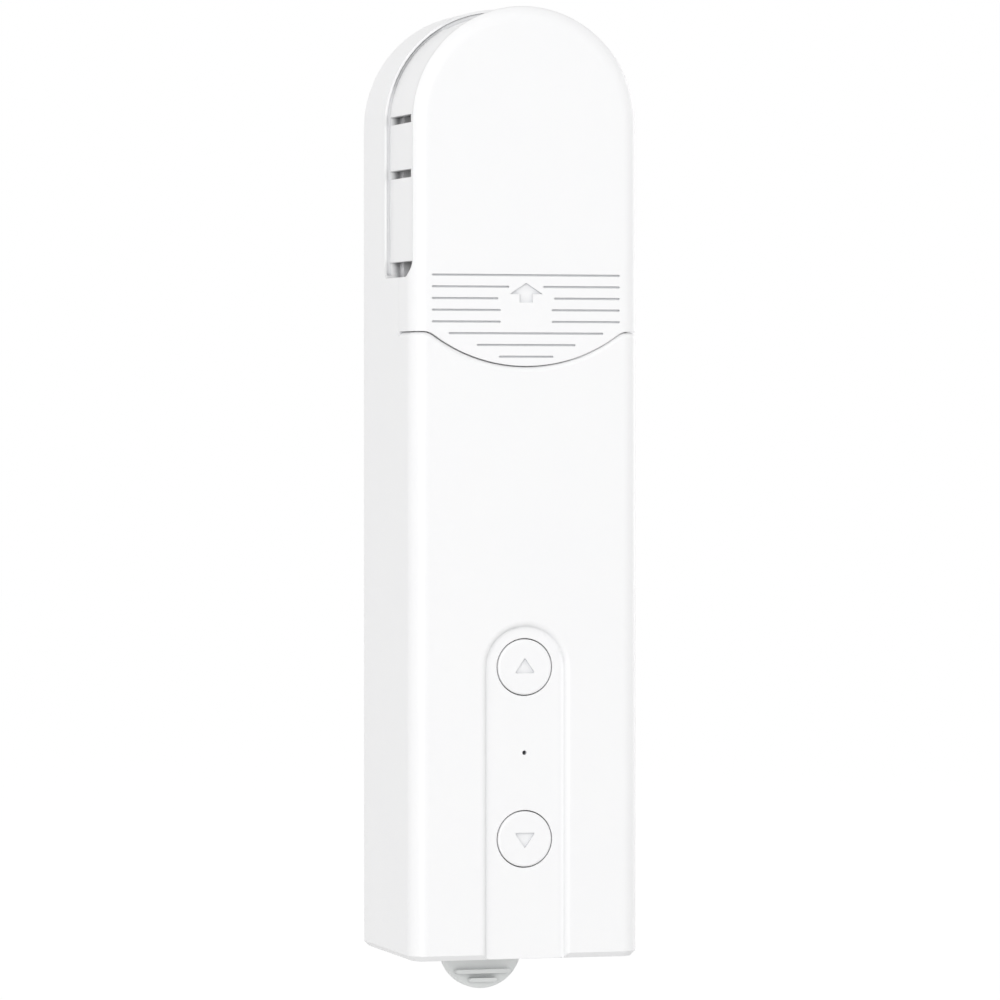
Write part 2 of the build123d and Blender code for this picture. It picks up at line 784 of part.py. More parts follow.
with BuildPart() as light_guide:
    with BuildSketch(facing(board_front - lamp_thickness - fit_gap, pinhole_height)):
        Circle(guide_radius)
    extrude(amount=board_front - lamp_thickness - fit_gap - channel_floor)
    with BuildSketch(facing(channel_floor, pinhole_height)):
        Circle(pinhole_radius - pilot_gap)
    extrude(amount=guide_reach)
save(light_guide, "light_guide")

board_screws = low_screws(behind(board_back), board_screw_places, board_thickness + short_screw)
save(board_screws, "board_screws")

# The charging socket stands on the board's back and opens through the underside
with BuildPart() as socket_shell:
    with BuildSketch(level(socket_foot, socket_middle)):
        SlotOverall(socket_width, socket_thickness)
    extrude(amount=socket_length)
    with BuildSketch(level(socket_foot, socket_middle)):
        SlotOverall(socket_width - 2 * socket_wall, socket_thickness - 2 * socket_wall)
    extrude(amount=socket_length - socket_wall, mode=Mode.SUBTRACT)
save(socket_shell, "socket_shell")

with BuildPart() as socket_tongue:
    with BuildSketch(level(socket_foot + tongue_inset, socket_middle)):
        Rectangle(tongue_width, tongue_thickness)
    extrude(amount=socket_length - socket_wall - tongue_inset)
    with BuildSketch(level(socket_foot + tongue_inset + tongue_length, socket_middle)):
        SlotOverall(socket_width - 2 * socket_wall, socket_thickness - 2 * socket_wall)
    extrude(amount=socket_length - socket_wall - tongue_inset - tongue_length)
save(socket_tongue, "socket_tongue")

# Two cells side by side in an open cradle
for name, side in (("left_cell", -1), ("right_cell", 1)):
    with BuildPart() as cell:
        with BuildSketch(level(cell_foot, cell_depth)):
            with Locations((side * cell_reach, 0)):
                Circle(cell_radius)
        extrude(amount=cell_length - cell_cap_height)
        fillet(cell.edges().filter_by(GeomType.CIRCLE), cell_edge)
        with BuildSketch(level(cell_foot, cell_depth)):
            with Locations((side * cell_reach, 0)):
                Circle(cell_cap_radius)
        extrude(amount=cell_length)
    save(cell, name)

with BuildPart() as cell_cradle:
    with BuildSketch(level(cradle_foot - cradle_end)):
        block(
            (-inner_half + 2 * fit_gap, board_back + cradle_board_gap),
            (inner_half - 2 * fit_gap, cell_depth + cradle_wrap),
        )
    extrude(amount=cradle_top - cradle_foot + 2 * cradle_end)
    with BuildSketch(level(cradle_foot, cell_depth)):
        with Locations((-cell_reach, 0), (cell_reach, 0)):
            Circle(cell_radius + fit_gap)
    extrude(amount=cradle_top - cradle_foot, mode=Mode.SUBTRACT)
save(cell_cradle, "cell_cradle")

# The motor stands upright with its reduction gearhead on top, hung from a bracket
with BuildPart() as motor_can:
    with BuildSketch(level(motor_foot, motor_depth)):
        Circle(motor_radius)
    extrude(amount=motor_length)
    fillet(motor_can.edges().group_by(Axis.Z)[0], motor_edge)
save(motor_can, "motor_can")

with BuildPart() as motor_cap:
    with BuildSketch(level(motor_foot - motor_cap_thickness, motor_depth)):
        Circle(motor_radius - motor_cap_inset)
    extrude(amount=motor_cap_thickness)
    with BuildSketch(level(motor_foot - motor_cap_thickness, motor_depth)):
        Circle(motor_boss_radius)
    extrude(amount=-motor_boss_height)
save(motor_cap, "motor_cap")

with BuildPart() as gearhead:
    with BuildSketch(level(gearhead_foot, motor_depth)):
        Circle(motor_radius - gearhead_inset)
    extrude(amount=gearhead_length)
    with BuildSketch(level(bracket_foot, motor_depth)):
        Circle(pilot_radius)
    extrude(amount=bracket_thickness)
    with BuildSketch(level(bracket_foot - gearhead_bore, motor_depth)):
        Circle(output_shaft_radius + shaft_clearance)
    extrude(amount=gearhead_bore + bracket_thickness, mode=Mode.SUBTRACT)
    with BuildSketch(level(bracket_foot, motor_depth)):
        with Locations(*motor_screw_places):
            Circle(screw_radius + pilot_gap)
    extrude(amount=-motor_screw_depth - pilot_extra, mode=Mode.SUBTRACT)
    with BuildSketch(level(gearhead_foot, motor_depth)):
        Circle(motor_radius)
        Circle(motor_radius - gearhead_groove, mode=Mode.SUBTRACT)
    extrude(amount=gearhead_groove_width, mode=Mode.SUBTRACT)
save(gearhead, "gearhead")

with BuildPart() as motor_bracket:
    with BuildSketch(level(bracket_foot)):
        bracket_half = inner_half - fit_gap
        block((-bracket_half, cover_wall_back + fit_gap), (bracket_half, rear_front - fit_gap))
        with Locations((0, motor_depth)):
            Circle(pilot_radius + pilot_gap, mode=Mode.SUBTRACT)
        with Locations(*[(x, motor_depth) for x, _ in motor_screw_places]):
            Circle(screw_radius + pilot_gap, mode=Mode.SUBTRACT)
    extrude(amount=bracket_thickness)
save(motor_bracket, "motor_bracket")

motor_screw_length = bracket_thickness + motor_screw_depth
motor_screws = low_screws(level(bracket_top, motor_depth), motor_screw_places, motor_screw_length)
save(motor_screws, "motor_screws")

# Gearhead shaft and bevel pinion
with BuildPart() as gearhead_shaft:
    with BuildSketch(level(bracket_foot - gearhead_bore + fit_gap, motor_depth)):
        Circle(output_shaft_radius)
    extrude(amount=pinion_top + shaft_end - bracket_foot + gearhead_bore - fit_gap)
save(gearhead_shaft, "gearhead_shaft")

with BuildPart() as bevel_pinion:
    with BuildSketch(level(pinion_foot, motor_depth)):
        with BuildLine():
            Polyline(*bevel_outline(bevel_teeth, pinion_cone, 180 / bevel_teeth, 1), close=True)
        make_face()
    with BuildSketch(level(pinion_top, motor_depth)):
        with BuildLine():
            Polyline(*bevel_outline(bevel_teeth, pinion_cone, 180 / bevel_teeth, small_end), close=True)
        make_face()
    loft(ruled=True)
    with BuildSketch(level(pinion_foot, motor_depth)):
        Circle(pinion_hub_radius)
    extrude(amount=-pinion_hub)
    with BuildSketch(level(pinion_foot - pinion_hub - past, motor_depth)):
        Circle(output_shaft_radius + pilot_gap)
    extrude(amount=crown_radius, mode=Mode.SUBTRACT)
save(bevel_pinion, "bevel_pinion")

# The idler gear is one moulding, a bevel gear and a spur pinion, on a fixed axle
with BuildPart() as idler_gear:
    with BuildSketch(facing(crown_back, axle_height)):
        with BuildLine():
            Polyline(*bevel_outline(crown_teeth, crown_cone, 0, 1), close=True)
        make_face()
    with BuildSketch(facing(crown_front, axle_height)):
        with BuildLine():
            Polyline(*bevel_outline(crown_teeth, crown_cone, 0, small_end), close=True)
        make_face()
    loft(ruled=True)
    with BuildSketch(facing(spur_front, axle_height)):
        Circle(crown_hub_radius)
    extrude(amount=spur_front - crown_back)
    with BuildSketch(facing(spur_back, axle_height)):
        with BuildLine():
            Polyline(*gear_outline(pinion_teeth, 180 / pinion_teeth), close=True)
        make_face()
    extrude(amount=gear_width)
    with BuildSketch(facing(spur_back + past, axle_height)):
        Circle(axle_radius + shaft_clearance)
    extrude(amount=rear_front, mode=Mode.SUBTRACT)
save(idler_gear, "idler_gear")

with BuildPart() as idler_axle:
    with BuildSketch(facing(bearing_back, axle_height)):
        Circle(axle_radius)
    extrude(amount=bearing_back - partition_front - axle_end_gap)
save(idler_axle, "idler_axle")

# The output gear and the chain wheel on their shaft, in two bushes
with BuildPart() as output_gear:
    with BuildSketch(facing(spur_back, sprocket_height)):
        with BuildLine():
            Polyline(*gear_outline(output_teeth, 0), close=True)
        make_face()
        with PolarLocations(web_hole_ring, web_holes):
            Circle(web_hole_radius, mode=Mode.SUBTRACT)
        Circle(shaft_radius + pilot_gap, mode=Mode.SUBTRACT)
    extrude(amount=gear_width)
save(output_gear, "output_gear")

with BuildPart() as drive_shaft:
    with BuildSketch(facing(bearing_back, sprocket_height)):
        Circle(shaft_radius)
    extrude(amount=bearing_back - shaft_front)
    with BuildSketch(facing(sprocket_back, sprocket_height)):
        with Locations((0, shaft_flat + shaft_radius)):
            Rectangle(2 * shaft_radius, 2 * shaft_radius)
    extrude(amount=sprocket_back, mode=Mode.SUBTRACT)
    with BuildSketch(facing(sprocket_front, sprocket_height)):
        Circle(wheel_screw_radius + pilot_gap)
    extrude(amount=-wheel_screw_length - pilot_extra, mode=Mode.SUBTRACT)
save(drive_shaft, "drive_shaft")

for name, front, back in (
    ("front_bush", bush_front, spur_front - gear_gap),
    ("rear_bush", bearing_front - gear_gap / 2, bearing_back),
):
    with BuildPart() as bush:
        with BuildSketch(facing(back, sprocket_height)):
            Circle(bush_radius)
            Circle(shaft_radius + shaft_clearance, mode=Mode.SUBTRACT)
        extrude(amount=back - front)
    save(bush, name)

# Chain wheel: a drum with a groove for the cord between the balls, a pocket for each ball,
# and flanges that lean outwards to guide the chain in
wheel_middle = (sprocket_front + sprocket_back) / 2
with BuildPart() as chain_sprocket:
    with BuildSketch(side_on(sprocket_height)) as wheel_section:
        block((sprocket_front, 0), (sprocket_back, drum_radius))
        for face, inward in ((sprocket_front, 1), (sprocket_back, -1)):
            with BuildLine():
                Polyline(
                    (face, 0),
                    (face, flange_radius),
                    (face + inward * flange_rim, flange_radius),
                    (face + inward * flange_thickness, drum_radius),
                    (face + inward * flange_thickness, 0),
                    close=True,
                )
            make_face()
        block(
            (wheel_middle - cord_groove_width / 2, drum_radius - cord_groove_depth),
            (wheel_middle + cord_groove_width / 2, drum_radius + past),
            mode=Mode.SUBTRACT,
        )
    revolve(axis=Axis((0, front_y, bottom_z + sprocket_height), (0, 1, 0)))
    with Locations(facing(wheel_middle, sprocket_height).location):
        # the poles of each ball point outwards, so that its seam crosses the pocket
        with PolarLocations(ball_radius, ball_pockets):
            Sphere(ball_diameter / 2 + pocket_gap, rotation=(0, 90, 0), mode=Mode.SUBTRACT)
    with BuildSketch(facing(sprocket_back, sprocket_height)):
        Circle(shaft_radius + pilot_gap)
        with Locations((0, shaft_flat + pilot_gap + shaft_radius)):
            Rectangle(2 * shaft_radius, 2 * shaft_radius, mode=Mode.SUBTRACT)
    extrude(amount=sprocket_width, mode=Mode.SUBTRACT)
save(chain_sprocket, "chain_sprocket")

with BuildPart() as sprocket_screw:
    with BuildSketch(facing(sprocket_front, sprocket_height)):
        Circle(wheel_screw_radius)
    extrude(amount=-wheel_screw_length)
    with BuildSketch(facing(sprocket_front, sprocket_height)):
        Circle(wheel_screw_head)
    extrude(amount=wheel_screw_head_height)
    fillet(sprocket_screw.edges().group_by(Axis.Y)[0], wheel_screw_edge)
    with BuildSketch(facing(sprocket_front - wheel_screw_head_height + cross_depth, sprocket_height)):
        Rectangle(cross_length, cross_width)
        Rectangle(cross_width, cross_length)
    extrude(amount=cross_depth + past, mode=Mode.SUBTRACT)
save(sprocket_screw, "sprocket_screw")

# The bearing plate closes the gear space
with BuildPart() as bearing_plate:
    with BuildSketch(facing(bearing_back)):
        arch(inner_half - 2 * fit_gap, axle_height - bearing_drop)
        with Locations((0, sprocket_height)):
            Circle(bush_radius + pilot_gap, mode=Mode.SUBTRACT)
        with Locations((0, axle_height)):
            Circle(axle_radius + pilot_gap, mode=Mode.SUBTRACT)
        with Locations(*plate_screw_places):
            Circle(screw_radius + pilot_gap, mode=Mode.SUBTRACT)
        with Locations(*case_screw_places):
            Circle(pillar_radius + slide_gap, mode=Mode.SUBTRACT)
    extrude(amount=bearing_plate_thickness)
save(bearing_plate, "bearing_plate")

plate_screw_length = bearing_plate_thickness + short_screw
plate_screws = low_screws(behind(bearing_back), plate_screw_places, plate_screw_length)
save(plate_screws, "plate_screws")

# The rear cover closes the back and carries the channel that rides on the wall base
with BuildPart() as rear_cover:
    with BuildSketch(facing(body_depth)):
        arch(inner_half - fit_gap, wall + fit_gap)
    extrude(amount=rear_thickness)
    with BuildSketch(facing(base_front + base_lip + slide_gap)):
        block((-base_width / 2 - slide_gap, 0), (base_width / 2 + slide_gap, channel_top))
    extrude(amount=base_lip + 2 * slide_gap, mode=Mode.SUBTRACT)
    with BuildSketch(facing(body_depth)):
        block((-base_neck_width / 2 - slide_gap, 0), (base_neck_width / 2 + slide_gap, channel_top))
    extrude(amount=base_sink, mode=Mode.SUBTRACT)
    # the rack: gaps with a flat lower face and a sloping upper one
    with BuildSketch(side_on()):
        for gap in range(rack_count):
            foot = rack_foot + gap * rack_pitch
            with BuildLine():
                Polyline(
                    (base_front, foot),
                    (rack_floor - rack_depth, foot),
                    (rack_floor, foot + rack_depth * rack_rise),
                    (base_front, foot + rack_depth * rack_rise),
                    close=True,
                )
            make_face()
    extrude(amount=rack_width / 2, both=True, mode=Mode.SUBTRACT)
    # above the channel the cover is a thin skin with screw posts
    with BuildSketch(facing(body_depth - rear_skin)):
        arch(inner_half - fit_gap - rear_rim, channel_top + rear_skin)
        with Locations(*case_screw_places):
            Circle(pillar_radius, mode=Mode.SUBTRACT)
    extrude(amount=rear_thickness, mode=Mode.SUBTRACT)
    with BuildSketch(facing(body_depth)):
        with Locations(*case_screw_places):
            Circle(screw_radius + pilot_gap)
    extrude(amount=rear_thickness, mode=Mode.SUBTRACT)
    with BuildSketch(facing(body_depth)):
        with Locations(*case_screw_places):
            Circle(screw_head + fit_gap)
    extrude(amount=screw_sink + screw_head_height, mode=Mode.SUBTRACT)
save(rear_cover, "rear_cover")

with BuildPart() as case_screws:
    with BuildSketch(facing(case_screw_seat + screw_head_height)):
        with Locations(*case_screw_places):
            Circle(screw_head)
    extrude(amount=screw_head_height)
    with BuildSketch(facing(case_screw_seat)):
        with Locations(*case_screw_places):
            Circle(screw_radius)
    extrude(amount=screw_length)
    with BuildSketch(facing(case_screw_seat + screw_head_height)):
        with Locations(*case_screw_places):
            Rectangle(screw_cross, screw_cross_width)
            Rectangle(screw_cross_width, screw_cross)
    extrude(amount=screw_cross_depth, mode=Mode.SUBTRACT)
save(case_screws, "case_screws")

# The wall base: a plate with a wider front lip on each side, held on the wall by two screws
with BuildPart() as wall_base:
    with BuildSketch(facing(base_back)):
        block((-base_neck_width / 2, base_foot), (base_neck_width / 2, base_foot + base_length))
    extrude(amount=base_back - base_front)
    with BuildSketch(facing(base_front + base_lip)):
        block((-base_width / 2, base_foot), (base_width / 2, base_foot + base_length))
    extrude(amount=base_lip)
    fillet(wall_base.edges().filter_by(Axis.Y).group_by(Axis.Z)[-1], base_corner)
    with BuildSketch(facing(web_front)):
        slot_half = latch_width / 2 + slide_gap
        block((-slot_half, 0), (slot_half, latch_pivot_height + latch_barrel_radius + slide_gap))
    extrude(amount=web_front, mode=Mode.SUBTRACT)
    with Locations(*[facing(base_front, h).location for h in screw_hole_heights]):
        CounterSinkHole(screw_hole_radius, screw_head_radius)
    with BuildSketch(side_on(latch_pivot_height)):
        with Locations((latch_pivot_depth, 0)):
            Circle(latch_pin_radius + pilot_gap)
    extrude(amount=base_width, both=True, mode=Mode.SUBTRACT)
save(wall_base, "wall_base")

# The release latch: a tab with two ribs below the body, a tongue up to its hinge pin,
# and a pawl that lies in the rack
with BuildPart() as release_latch:
    with BuildSketch(side_on()):
        block((latch_front, -tab_gap - overlap), (latch_back, latch_pivot_height))
        with Locations((latch_pivot_depth, latch_pivot_height)):
            Circle(latch_barrel_radius)
    extrude(amount=latch_width / 2, both=True)
    with BuildSketch(side_on()):
        root = latch_front + latch_thickness / 2
        with BuildLine():
            Polyline(
                (pawl_tip, pawl_foot),
                (root, pawl_foot),
                (root, pawl_foot + (root - pawl_tip) * rack_rise),
                close=True,
            )
        make_face()
    extrude(amount=pawl_width / 2, both=True)
    with BuildSketch(facing(base_front + tab_thickness)):
        with Locations((0, -tab_drop)):
            Circle(tab_radius)
        block((-tab_radius, -tab_gap), (tab_radius, tab_radius), mode=Mode.SUBTRACT)
    extrude(amount=tab_thickness)
    rim = release_latch.edges().filter_by(GeomType.CIRCLE).filter_by(lambda e: e.center().Z < bottom_z)
    fillet(rim, tab_edge)
    with BuildSketch(facing(base_front + overlap)):
        for drop, length in ribs:
            with Locations((0, -drop)):
                SlotOverall(length, rib_thickness)
    extrude(amount=rib_stand + overlap)
    with BuildSketch(behind(latch_back - spring_pocket, spring_height)):
        Circle(spring_pocket_radius)
    extrude(amount=latch_thickness, mode=Mode.SUBTRACT)
    with BuildSketch(side_on(latch_pivot_height)):
        with Locations((latch_pivot_depth, 0)):
            Circle(latch_pin_radius + latch_pin_clearance)
    extrude(amount=latch_width, both=True, mode=Mode.SUBTRACT)
save(release_latch, "release_latch")

with BuildPart() as latch_pin:
    with BuildSketch(side_on(latch_pivot_height)):
        with Locations((latch_pivot_depth, 0)):
            Circle(latch_pin_radius)
    extrude(amount=base_neck_width / 2 - latch_pin_sink, both=True)
save(latch_pin, "latch_pin")

# A small coil between the latch and the web of the wall base keeps the pawl in the rack
spring_start = latch_back - spring_pocket + spring_end_gap + spring_wire
spring_rise = web_front - spring_end_gap - spring_wire - spring_start
with BuildPart() as latch_spring:
    with BuildLine() as coil:
        start = (0, front_y + spring_start, bottom_z + spring_height)
        pitch = spring_rise / spring_turns
        Helix(pitch=pitch, height=spring_rise, radius=spring_radius, center=start, direction=(0, 1, 0))
    with BuildSketch(Plane(origin=coil.line @ 0, z_dir=coil.line % 0)):
        Circle(spring_wire)
    sweep(is_frenet=True)
save(latch_spring, "latch_spring")
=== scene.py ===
import json
import math

import bmesh
import bpy
import numpy as np
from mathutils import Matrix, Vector


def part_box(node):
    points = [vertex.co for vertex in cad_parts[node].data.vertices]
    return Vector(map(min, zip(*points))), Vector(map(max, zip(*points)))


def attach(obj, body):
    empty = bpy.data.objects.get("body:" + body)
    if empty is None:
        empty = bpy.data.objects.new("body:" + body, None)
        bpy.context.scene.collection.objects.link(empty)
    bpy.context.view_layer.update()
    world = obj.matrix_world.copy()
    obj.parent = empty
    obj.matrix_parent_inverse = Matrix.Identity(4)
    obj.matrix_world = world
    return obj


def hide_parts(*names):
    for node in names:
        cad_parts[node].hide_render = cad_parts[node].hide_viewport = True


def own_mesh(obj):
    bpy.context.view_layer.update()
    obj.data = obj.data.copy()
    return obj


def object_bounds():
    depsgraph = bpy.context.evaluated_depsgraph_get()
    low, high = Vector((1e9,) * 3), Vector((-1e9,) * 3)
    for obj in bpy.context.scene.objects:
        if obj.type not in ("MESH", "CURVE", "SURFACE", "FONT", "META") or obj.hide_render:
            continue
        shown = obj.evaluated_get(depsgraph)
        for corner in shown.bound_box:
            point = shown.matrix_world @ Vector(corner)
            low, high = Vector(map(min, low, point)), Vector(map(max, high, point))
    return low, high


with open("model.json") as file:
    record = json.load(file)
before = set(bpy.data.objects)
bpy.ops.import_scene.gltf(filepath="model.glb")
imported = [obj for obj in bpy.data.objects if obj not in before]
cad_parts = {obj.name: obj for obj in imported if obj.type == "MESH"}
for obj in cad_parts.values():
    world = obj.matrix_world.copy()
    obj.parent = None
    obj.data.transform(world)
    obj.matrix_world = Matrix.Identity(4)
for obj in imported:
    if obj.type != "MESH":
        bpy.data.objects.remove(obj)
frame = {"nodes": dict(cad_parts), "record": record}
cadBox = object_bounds()


# Small helpers for objects and node trees

def newObject(name, data):
    thing = bpy.data.objects.new(name, data)
    bpy.context.scene.collection.objects.link(thing)
    return thing


def toLinear(hexColour):
    # sRGB hex to linear: the dark end is a straight line, the rest a power of 2.4
    parts = [int(hexColour[i:i + 2], 16) / 255 for i in (1, 3, 5)]
    return tuple(c / 12.92 if c <= 0.04045 else ((c + 0.055) / 1.055) ** 2.4 for c in parts) + (1.0,)


def addNode(tree, kind, inputs=None, **settings):
    # adds a node; an input that is given as a socket is linked, any other is set
    node = tree.nodes.new(kind)
    for key, value in settings.items():
        setattr(node, key, value)
    for key, value in (inputs or {}).items():
        if isinstance(value, bpy.types.NodeSocket):
            tree.links.new(value, node.inputs[key])
        else:
            node.inputs[key].default_value = value
    return node


def newMaterial(name):
    material = bpy.data.materials.new(name)
    material.use_nodes = True
    material.node_tree.nodes.clear()
    return material, material.node_tree


def finishSurface(tree, shader):
    addNode(tree, "ShaderNodeOutputMaterial", {"Surface": shader.outputs[0]})


def calculate(tree, operation, *values):
    return addNode(tree, "ShaderNodeMath", dict(enumerate(values)), operation=operation).outputs[0]


def remap(tree, value, start, end, low, high):
    # low at start, high at end, and level outside the two
    return addNode(tree, "ShaderNodeMapRange", {
        "Value": value, "From Min": start, "From Max": end, "To Min": low, "To Max": high,
    }).outputs["Result"]


def blend(tree, share, first, second):
    # the first colour where the share is 0, the second where it is 1
    node = addNode(tree, "ShaderNodeMix", {"Factor": share, "A": first, "B": second}, data_type="RGBA")
    return node.outputs["Result"]


def mixShaders(tree, share, first, second):
    return addNode(tree, "ShaderNodeMixShader", {0: share, 1: first.outputs[0], 2: second.outputs[0]})


def addNoise(tree, vector, scale, **inputs):
    return addNode(tree, "ShaderNodeTexNoise", {"Vector": vector, "Scale": scale, **inputs}).outputs["Fac"]


def twoTone(tree, noise, look):
    return blend(tree, noise, toLinear(look["colour"]), toLinear(look["darker"]))


def unevenPolish(tree, noise, look):
    # the middle of the noise's range spans the two roughnesses
    return remap(tree, noise, 0.3, 0.7, look["roughness"], look["rougher"])


def fineRelief(tree, noise, look, **inputs):
    return addNode(tree, "ShaderNodeBump", {
        "Strength": 1.0, "Distance": look["reliefMm"] / 1000, "Height": noise, **inputs,
    }).outputs["Normal"]


# Mouldings. Each is spark-textured in the tool: a matt grain of a few tenths of a millimetre,
# too shallow to see as relief, that spreads the highlights, and edges that are never quite sharp.
# Grooves and the room of the chain wheel get painted shade by how shut in they are: the full shade up to
# the openness "closed", none from the openness "opened" on.

mouldings = {
    "white_abs": {
        "name": "mouldedAbsWhite", "colour": "#F7F7F7", "darker": "#F5F5F6", "roughness": 0.32,
        "rougher": 0.4, "ior": 1.54, "grainMm": 0.45, "reliefMm": 0.0025, "edgeMm": 0.16,
        # painted shade: the shade of the grooves and of the chain wheel's room stands in for light that is
        # shut out
        "grooves": {"reachMm": 1.5, "closed": 0.35, "opened": 0.97, "shade": "#E0E1E3"},
        "room": {"reachMm": 16.0, "closed": 0.08, "opened": 0.52, "shade": "#5E5F62"},
    },
    "inner_plastic": {
        "name": "mouldedAbsInner", "colour": "#EDEDEE", "darker": "#E8E8EA", "roughness": 0.42,
        "rougher": 0.52, "ior": 1.54, "grainMm": 0.6, "reliefMm": 0.004, "edgeMm": 0.14,
    },
    "grey_abs": {
        "name": "mouldedAbsGrey", "colour": "#ECEEED", "darker": "#E7E9E8", "roughness": 0.42,
        "rougher": 0.5, "ior": 1.54, "grainMm": 0.5, "reliefMm": 0.003, "edgeMm": 0.16,
        # painted shade: the shade of the grooves stands in for light that is shut out
        "grooves": {"reachMm": 1.2, "closed": 0.35, "opened": 0.9, "shade": "#CFD1D1"},
    },
    "acetal": {
        "name": "mouldedAcetalNatural", "colour": "#EDEBE4", "darker": "#E6E3DA", "roughness": 0.28,
        "rougher": 0.36, "ior": 1.48, "grainMm": 1.2, "reliefMm": 0.002, "edgeMm": 0.08,
    },
    "black_plastic": {
        "name": "mouldedNylonBlack", "colour": "#232427", "darker": "#1B1C1E", "roughness": 0.45,
        "rougher": 0.58, "ior": 1.53, "grainMm": 0.4, "reliefMm": 0.004, "edgeMm": 0.08,
    },
}
mouldingClouds = 55.0    # noise cells per metre: tone patches about 18 mm across

# where the room of the chain wheel lies, in metres: behind the front wall of the cover; its painted shade
# stays within it
coverWall = 0.0016
chainRoom = {"halfWidth": 0.0202, "front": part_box("chain_cover")[0][1] + coverWall, "fade": 0.001}


def howHollow(tree, hollow, ownOnly):
    # 1 where a place is shut in, 0 where it is open; by its own piece only, or by all
    openness = addNode(tree, "ShaderNodeAmbientOcclusion", {"Distance": hollow["reachMm"] / 1000},
                       samples=8, only_local=ownOnly)
    return remap(tree, openness.outputs["AO"], hollow["closed"], hollow["opened"], 1.0, 0.0)


def insideRoom(tree, place):
    # 1 in the room of the chain wheel, 0 outside it: where the room's painted shade may go
    room, axes = chainRoom, addNode(tree, "ShaderNodeSeparateXYZ", {0: place})
    sideways = calculate(tree, "ABSOLUTE", axes.outputs["X"])
    within = remap(tree, sideways, room["halfWidth"] - room["fade"], room["halfWidth"], 1.0, 0.0)
    behind = remap(tree, axes.outputs["Y"], room["front"], room["front"] + room["fade"], 0.0, 1.0)
    return calculate(tree, "MULTIPLY", within, behind)


def makeMoulding(look):
    material, tree = newMaterial(look["name"])
    place = addNode(tree, "ShaderNodeTexCoord").outputs["Object"]
    grain = addNoise(tree, place, 1000 / look["grainMm"], Detail=2.0, Roughness=0.55)
    cloud = addNoise(tree, place, mouldingClouds, Detail=3.0, Roughness=0.5)
    tint = twoTone(tree, cloud, look)
    if "grooves" in look:    # painted shade: narrow grooves are darkened by how shut in they are
        paintedShade = howHollow(tree, look["grooves"], True)
        tint = blend(tree, paintedShade, tint, toLinear(look["grooves"]["shade"]))
    if "room" in look:    # painted shade: the closed room of the chain wheel is darkened by how shut in it is
        paintedShade = howHollow(tree, look["room"], False)
        paintedRoomShade = calculate(tree, "MULTIPLY", insideRoom(tree, place), paintedShade)
        tint = blend(tree, paintedRoomShade, tint, toLinear(look["room"]["shade"]))
    polish = unevenPolish(tree, grain, look)
    edge = addNode(tree, "ShaderNodeBevel", {"Radius": look["edgeMm"] / 1000}, samples=4)
    relief = fineRelief(tree, grain, look, Normal=edge.outputs["Normal"])
    shader = addNode(tree, "ShaderNodeBsdfPrincipled", {
        "Base Color": tint, "Roughness": polish, "IOR": look["ior"], "Normal": relief,
    })
    finishSurface(tree, shader)
    return material


# Metals. Turned and drawn steel carries fine lines along its length, so its noise is stretched
# along Z; sintered bronze is grainy.

metals = {
    "steel": {
        "name": "drawnSteelBright", "colour": "#B9BABD", "darker": "#A3A5A9", "roughness": 0.26,
        "rougher": 0.4, "lineMm": 0.25, "reliefMm": 0.0015, "stretch": (1.0, 1.0, 0.06),
    },
    "bronze": {
        "name": "sinteredBronze", "colour": "#B58A55", "darker": "#94703F", "roughness": 0.38,
        "rougher": 0.55, "lineMm": 0.3, "reliefMm": 0.004, "stretch": (1.0, 1.0, 1.0),
    },
}


def makeMetal(look):
    material, tree = newMaterial(look["name"])
    place = addNode(tree, "ShaderNodeTexCoord")
    turned = addNode(tree, "ShaderNodeMapping", {
        "Vector": place.outputs["Object"], "Scale": look["stretch"],
    })
    lines = addNoise(tree, turned.outputs["Vector"], 1000 / look["lineMm"], Detail=3.0, Roughness=0.6)
    shader = addNode(tree, "ShaderNodeBsdfPrincipled", {
        "Base Color": twoTone(tree, lines, look), "Roughness": unevenPolish(tree, lines, look),
        "Metallic": 1.0, "Normal": fineRelief(tree, lines, look),
    })
    finishSurface(tree, shader)
    return material


# Coated pieces: the shrunk sleeve of the cells and the solder mask of the board are smooth
# and glossy, and show only slow waves. The light guide is smoked polycarbonate.

coated = {
    "cell_sleeve": {
        "name": "shrunkPvcSleeve", "colour": "#2F6FA8", "darker": "#2A659B", "roughness": 0.22,
        "waveMm": 4.0, "reliefMm": 0.02,
    },
    "board": {
        "name": "solderMaskGreen", "colour": "#1E5A38", "darker": "#184D2F", "roughness": 0.3,
        "waveMm": 1.5, "reliefMm": 0.004,
    },
}


def makeCoated(look):
    material, tree = newMaterial(look["name"])
    place = addNode(tree, "ShaderNodeTexCoord")
    wave = addNoise(tree, place.outputs["Object"], 1000 / look["waveMm"], Detail=2.0)
    shader = addNode(tree, "ShaderNodeBsdfPrincipled", {
        "Base Color": twoTone(tree, wave, look), "Roughness": look["roughness"],
        "Normal": fineRelief(tree, wave, look),
    })
    finishSurface(tree, shader)
    return material


lightGuide = {
    "name": "smokedPolycarbonate", "colour": "#3A3C40", "darker": "#303236", "roughness": 0.12,
    "ior": 1.585, "clouds": 900.0,    # noise cells per metre
}


def makeLightGuide(look):
    material, tree = newMaterial(look["name"])
    place = addNode(tree, "ShaderNodeTexCoord")
    cloud = addNoise(tree, place.outputs["Object"], look["clouds"])
    shader = addNode(tree, "ShaderNodeBsdfPrincipled", {
        "Base Color": twoTone(tree, cloud, look), "Roughness": look["roughness"], "IOR": look["ior"],
    })
    finishSurface(tree, shader)
    return material


finishes = {slot: makeMoulding(look) for slot, look in mouldings.items()}
finishes.update({slot: makeMetal(look) for slot, look in metals.items()})
finishes.update({slot: makeCoated(look) for slot, look in coated.items()})
finishes["clear_plastic"] = makeLightGuide(lightGuide)

for entry in frame["record"]["subparts"]:
    mesh = frame["nodes"][entry["node"]].data
    mesh.materials.clear()
    mesh.materials.append(finishes[entry["material_slot"]])
print("finishes:", len(finishes))


